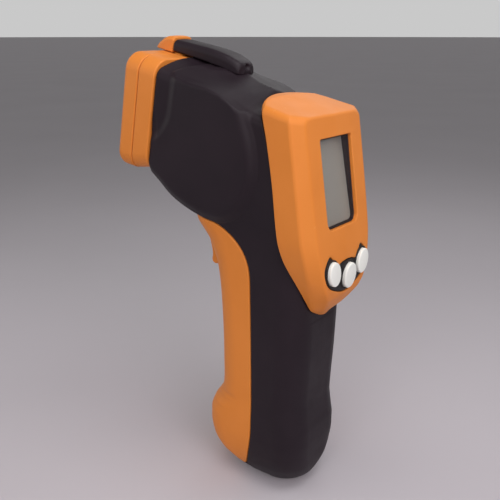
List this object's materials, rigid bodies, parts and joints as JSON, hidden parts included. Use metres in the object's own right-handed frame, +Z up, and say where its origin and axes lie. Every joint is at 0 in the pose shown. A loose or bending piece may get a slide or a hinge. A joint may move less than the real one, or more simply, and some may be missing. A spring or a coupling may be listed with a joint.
{
  "type": "infrared thermometer",
  "caption": "Handheld gun-style infrared thermometer: orange nose, tilted rear display housing, front trigger, push buttons and hinged battery door.",
  "frame": {"origin": "centre of the flat underside of the grip, on the surface it stands on", "axes": "+Z up, -Y the way the nose points, +X the user's left when the display faces the user"},
  "size_m": [0.042, 0.0861, 0.1565],
  "materials": {
    "black_shell": "fine satin moulding grain",
    "orange_shell": "satin, softly polished",
    "button_white": "smooth satin",
    "black_rubber": "soft matte",
    "black_plastic": "matte",
    "lcd_glass": "smooth grey",
    "clear_window": "clear, thin",
    "ir_lens_glass": "coated",
    "steel": "plain",
    "cast_weight": "as cast",
    "laser_barrel": "gold anodised",
    "cell_jacket": "printed film, gloss",
    "board_green": "solder resist",
    "natural_plastic": "translucent white",
    "wire_red": "smooth insulation",
    "wire_black": "smooth insulation"
  },
  "bodies": {
    "body": {"shell_left": "black_shell", "shell_right": "black_shell", "sole_pad": "black_rubber", "nose_collar": "orange_shell", "nose_bezel": "orange_shell", "front_plate": "black_shell", "top_rail": "black_shell", "door_hinge_pin": "steel", "display_housing": "orange_shell", "trigger_pin": "steel", "trigger_switch": "black_plastic", "battery_tray": "black_plastic", "battery_left": "cell_jacket", "battery_right": "cell_jacket", "heel_weight": "cast_weight", "screw_barrel_rear": "steel", "screw_barrel_front": "steel", "screw_grip_upper": "steel", "screw_grip_lower": "steel", "contact_plate_lower": "steel", "contact_plate_upper_left": "steel", "contact_plate_upper_right": "steel", "battery_spring_left": "steel", "battery_spring_right": "steel", "sensor_cable": "wire_black", "laser_cable": "wire_black", "battery_lead_red": "wire_red", "battery_lead_black": "wire_black", "switch_cable": "wire_black", "optical_tube": "black_plastic", "ir_lens": "ir_lens_glass", "lens_ring": "steel", "thermopile_sensor": "steel", "sensor_board": "board_green", "laser_module": "laser_barrel", "laser_lens": "clear_window", "display_window": "clear_window", "lcd_bezel": "black_shell", "lcd_panel": "lcd_glass", "lcd_backlight": "natural_plastic", "main_board": "board_green", "controller_chip": "black_plastic", "buzzer": "black_plastic", "keypad_mat": "black_rubber", "board_screw_1": "steel", "board_screw_2": "steel", "board_screw_3": "steel", "board_screw_4": "steel", "key_switch_left": "black_plastic", "key_switch_middle": "black_plastic", "key_switch_right": "black_plastic"},
    "trigger": {"trigger": "orange_shell"},
    "switch_plunger": {"switch_plunger": "natural_plastic"},
    "battery_door": {"battery_door": "orange_shell"},
    "button_left": {"button_left": "button_white"},
    "button_middle": {"button_middle": "button_white"},
    "button_right": {"button_right": "button_white"}
  },
  "joints": [
    {"name": "trigger_pivot", "type": "hinge", "parent": "body", "child": "trigger", "pos_m": [0, -0.013, 0.104], "axis": [1, 0, 0], "range_deg": [0, 8], "stiffness_Nm_per_rad": 0.02, "springref_deg": -5.73},
    {"name": "plunger_slide", "type": "slide", "parent": "body", "child": "switch_plunger", "axis": [0, 1, 0], "range_m": [0, 0.00185]},
    {"name": "battery_door_hinge", "type": "hinge", "parent": "body", "child": "battery_door", "pos_m": [0, -0.0152, 0.0086], "axis": [1, 0, 0], "range_deg": [0, 50]},
    {"name": "button_left_press", "type": "slide", "parent": "body", "child": "button_left", "axis": [0, -1, 0], "range_m": [0, 0.0008], "stiffness_N_per_m": 6, "springref_m": -0.0006},
    {"name": "button_middle_press", "type": "slide", "parent": "body", "child": "button_middle", "axis": [0, -0.9976, 0.0698], "range_m": [0, 0.0008], "stiffness_N_per_m": 6, "springref_m": -0.0006},
    {"name": "button_right_press", "type": "slide", "parent": "body", "child": "button_right", "axis": [0, -1, 0], "range_m": [0, 0.0008], "stiffness_N_per_m": 6, "springref_m": -0.0006}
  ],
  "couplings": [
    {"joint": "plunger_slide", "follows": "trigger_pivot", "m_per_rad": 0.0129}
  ]
}
